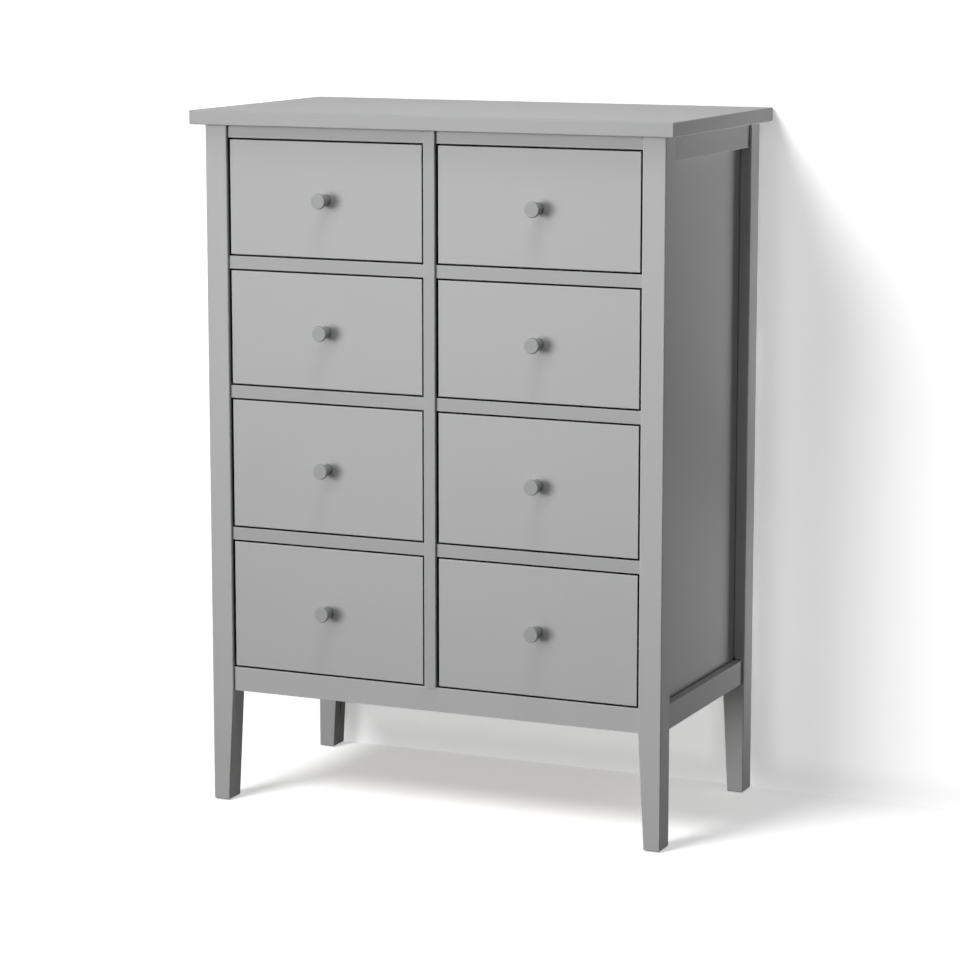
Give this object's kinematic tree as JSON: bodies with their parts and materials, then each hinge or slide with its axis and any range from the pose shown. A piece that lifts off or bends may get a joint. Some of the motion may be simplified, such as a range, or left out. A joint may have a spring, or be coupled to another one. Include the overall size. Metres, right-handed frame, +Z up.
{
  "type": "tall chest of drawers",
  "caption": "Tall painted chest of drawers in two columns, with a framed case, recessed side panels, tapered legs and round turned knobs on sliding drawers.",
  "frame": {"origin": "on the floor, under the middle of the whole chest with its knobs", "axes": "+Z up, +X to the right of a person facing the drawers, +Y to the back; drawers open along -Y"},
  "size_m": [0.872, 0.483, 1.2],
  "materials": {
    "grey_paint": "satin grey paint",
    "knob_paint": "satin grey paint",
    "raw_wood": "planed, unpainted",
    "drawer_wood": "clear lacquer",
    "bottom_board": "thin plywood",
    "back_board": "painted board",
    "runner_wood": "waxed hardwood",
    "glide_plastic": "matte"
  },
  "bodies": {
    "case": {"top_panel": "grey_paint", "front_left_post": "grey_paint", "front_right_post": "grey_paint", "rear_left_post": "grey_paint", "rear_right_post": "grey_paint", "left_upper_side_rail": "grey_paint", "right_upper_side_rail": "grey_paint", "left_lower_side_rail": "grey_paint", "right_lower_side_rail": "grey_paint", "left_side_panel": "grey_paint", "right_side_panel": "grey_paint", "front_apron": "grey_paint", "centre_stile": "grey_paint", "left_top_rail": "grey_paint", "right_top_rail": "grey_paint", "left_drawer_rail_1": "grey_paint", "right_drawer_rail_1": "grey_paint", "left_drawer_rail_2": "grey_paint", "right_drawer_rail_2": "grey_paint", "left_drawer_rail_3": "grey_paint", "right_drawer_rail_3": "grey_paint", "centre_divider": "raw_wood", "rear_lower_rail": "raw_wood", "rear_upper_rail": "raw_wood", "back_panel": "back_board", "left_runners": "runner_wood", "right_runners": "runner_wood", "floor_glides": "glide_plastic"},
    "left_drawer_1": {"left_drawer_1_front": "grey_paint", "left_drawer_1_box": "drawer_wood", "left_drawer_1_bottom": "bottom_board", "left_drawer_1_knob": "knob_paint"},
    "left_drawer_2": {"left_drawer_2_front": "grey_paint", "left_drawer_2_box": "drawer_wood", "left_drawer_2_bottom": "bottom_board", "left_drawer_2_knob": "knob_paint"},
    "left_drawer_3": {"left_drawer_3_front": "grey_paint", "left_drawer_3_box": "drawer_wood", "left_drawer_3_bottom": "bottom_board", "left_drawer_3_knob": "knob_paint"},
    "left_drawer_4": {"left_drawer_4_front": "grey_paint", "left_drawer_4_box": "drawer_wood", "left_drawer_4_bottom": "bottom_board", "left_drawer_4_knob": "knob_paint"},
    "right_drawer_1": {"right_drawer_1_front": "grey_paint", "right_drawer_1_box": "drawer_wood", "right_drawer_1_bottom": "bottom_board", "right_drawer_1_knob": "knob_paint"},
    "right_drawer_2": {"right_drawer_2_front": "grey_paint", "right_drawer_2_box": "drawer_wood", "right_drawer_2_bottom": "bottom_board", "right_drawer_2_knob": "knob_paint"},
    "right_drawer_3": {"right_drawer_3_front": "grey_paint", "right_drawer_3_box": "drawer_wood", "right_drawer_3_bottom": "bottom_board", "right_drawer_3_knob": "knob_paint"},
    "right_drawer_4": {"right_drawer_4_front": "grey_paint", "right_drawer_4_box": "drawer_wood", "right_drawer_4_bottom": "bottom_board", "right_drawer_4_knob": "knob_paint"}
  },
  "joints": [
    {"name": "left_drawer_1_slide", "type": "slide", "parent": "case", "child": "left_drawer_1", "axis": [0, -1, 0], "range_m": [0, 0.285]},
    {"name": "left_drawer_2_slide", "type": "slide", "parent": "case", "child": "left_drawer_2", "axis": [0, -1, 0], "range_m": [0, 0.285]},
    {"name": "left_drawer_3_slide", "type": "slide", "parent": "case", "child": "left_drawer_3", "axis": [0, -1, 0], "range_m": [0, 0.285]},
    {"name": "left_drawer_4_slide", "type": "slide", "parent": "case", "child": "left_drawer_4", "axis": [0, -1, 0], "range_m": [0, 0.285]},
    {"name": "right_drawer_1_slide", "type": "slide", "parent": "case", "child": "right_drawer_1", "axis": [0, -1, 0], "range_m": [0, 0.285]},
    {"name": "right_drawer_2_slide", "type": "slide", "parent": "case", "child": "right_drawer_2", "axis": [0, -1, 0], "range_m": [0, 0.285]},
    {"name": "right_drawer_3_slide", "type": "slide", "parent": "case", "child": "right_drawer_3", "axis": [0, -1, 0], "range_m": [0, 0.285]},
    {"name": "right_drawer_4_slide", "type": "slide", "parent": "case", "child": "right_drawer_4", "axis": [0, -1, 0], "range_m": [0, 0.285]}
  ]
}
